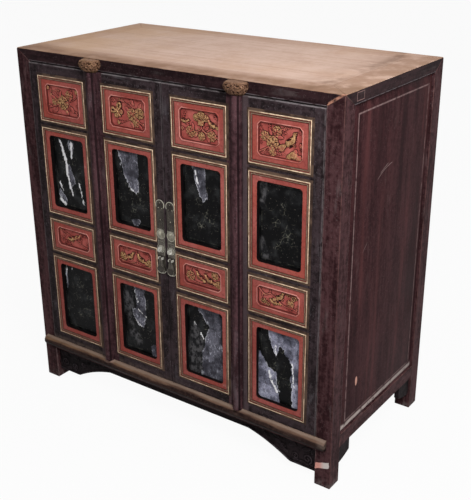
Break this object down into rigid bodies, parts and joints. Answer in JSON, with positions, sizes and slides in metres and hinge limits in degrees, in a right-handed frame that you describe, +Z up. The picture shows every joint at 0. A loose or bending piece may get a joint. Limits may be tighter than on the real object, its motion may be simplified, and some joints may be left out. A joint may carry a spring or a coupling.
{
  "type": "lacquer cabinet",
  "caption": "Square-cornered lacquer cabinet with carved and painted front leaves, pivot-hung doors, lobed lock plates, drop pulls and a scrolled apron.",
  "frame": {"origin": "centre of the bounding box's bottom face, on the floor between the feet", "axes": "+Z up, -Y out of the decorated front, +X to the right of someone facing the front"},
  "size_m": [1, 0.53, 1],
  "materials": {
    "dark_lacquer": "worn dark red-brown lacquer",
    "side_lacquer": "streaked dark maroon lacquer",
    "black_lacquer": "worn black-brown lacquer",
    "column_lacquer": "worn purple-brown lacquer",
    "red_lacquer": "worn vermilion lacquer",
    "carved_red_lacquer": "vermilion lacquer with gilt carving",
    "painted_black_lacquer": "black lacquer flaking to a grey ground",
    "gilt_moulding": "worn gilding over dark lacquer",
    "gilt_boss": "worn gilt carving",
    "worn_moulding": "lacquer worn to golden-brown wood",
    "bare_top_wood": "bare worn softwood",
    "inner_wood": "unfinished softwood",
    "tarnished_brass": "tarnished white brass"
  },
  "bodies": {
    "carcass": {"apron_front": "dark_lacquer", "back_boards": "inner_wood", "base_bead": "worn_moulding", "bottom_rail_back": "dark_lacquer", "bottom_rail_front": "dark_lacquer", "bottom_rail_left": "dark_lacquer", "bottom_rail_right": "dark_lacquer", "door_stop": "inner_wood", "fixed_leaf_left_carved_boards": "carved_red_lacquer", "fixed_leaf_left_gilt_mouldings": "gilt_moulding", "fixed_leaf_left_lacquer_boards": "painted_black_lacquer", "fixed_leaf_left_rails": "black_lacquer", "fixed_leaf_left_red_surrounds": "red_lacquer", "fixed_leaf_left_stiles": "black_lacquer", "fixed_leaf_right_carved_boards": "carved_red_lacquer", "fixed_leaf_right_gilt_mouldings": "gilt_moulding", "fixed_leaf_right_lacquer_boards": "painted_black_lacquer", "fixed_leaf_right_rails": "black_lacquer", "fixed_leaf_right_red_surrounds": "red_lacquer", "fixed_leaf_right_stiles": "black_lacquer", "floor_boards": "inner_wood", "pivot_bosses": "gilt_boss", "post_back_left": "dark_lacquer", "post_back_right": "dark_lacquer", "post_front_left": "dark_lacquer", "post_front_right": "dark_lacquer", "shelf_bearers": "inner_wood", "shelf_boards": "inner_wood", "side_brackets": "dark_lacquer", "side_panel_left": "side_lacquer", "side_panel_right": "side_lacquer", "top_battens": "inner_wood", "top_boards": "bare_top_wood", "top_rail_back": "dark_lacquer", "top_rail_front": "dark_lacquer", "top_rail_left": "dark_lacquer", "top_rail_right": "dark_lacquer"},
    "door_left": {"door_left_carved_boards": "carved_red_lacquer", "door_left_gilt_mouldings": "gilt_moulding", "door_left_lacquer_boards": "painted_black_lacquer", "door_left_lock_fittings": "tarnished_brass", "door_left_lock_plate": "tarnished_brass", "door_left_meeting_stile": "black_lacquer", "door_left_pivot_stile": "column_lacquer", "door_left_plate_nails": "tarnished_brass", "door_left_rails": "black_lacquer", "door_left_red_surrounds": "red_lacquer"},
    "door_right": {"door_right_carved_boards": "carved_red_lacquer", "door_right_gilt_mouldings": "gilt_moulding", "door_right_lacquer_boards": "painted_black_lacquer", "door_right_lock_fittings": "tarnished_brass", "door_right_lock_plate": "tarnished_brass", "door_right_meeting_stile": "black_lacquer", "door_right_pivot_stile": "column_lacquer", "door_right_plate_nails": "tarnished_brass", "door_right_rails": "black_lacquer", "door_right_red_surrounds": "red_lacquer"},
    "pull_left": {"door_left_drop_pull": "tarnished_brass"},
    "pull_right": {"door_right_drop_pull": "tarnished_brass"}
  },
  "joints": [
    {"name": "door_left_swing", "type": "hinge", "parent": "carcass", "child": "door_left", "pos_m": [-0.225, -0.242, 0.55], "axis": [0, 0, -1], "range_deg": [0, 160]},
    {"name": "door_right_swing", "type": "hinge", "parent": "carcass", "child": "door_right", "pos_m": [0.225, -0.242, 0.55], "axis": [0, 0, 1], "range_deg": [0, 160]},
    {"name": "pull_left_swing", "type": "hinge", "parent": "door_left", "child": "pull_left", "pos_m": [-0.0165, -0.2435, 0.508], "axis": [-1, 0, 0], "range_deg": [0, 95]},
    {"name": "pull_right_swing", "type": "hinge", "parent": "door_right", "child": "pull_right", "pos_m": [0.0165, -0.2435, 0.508], "axis": [-1, 0, 0], "range_deg": [0, 95]}
  ]
}
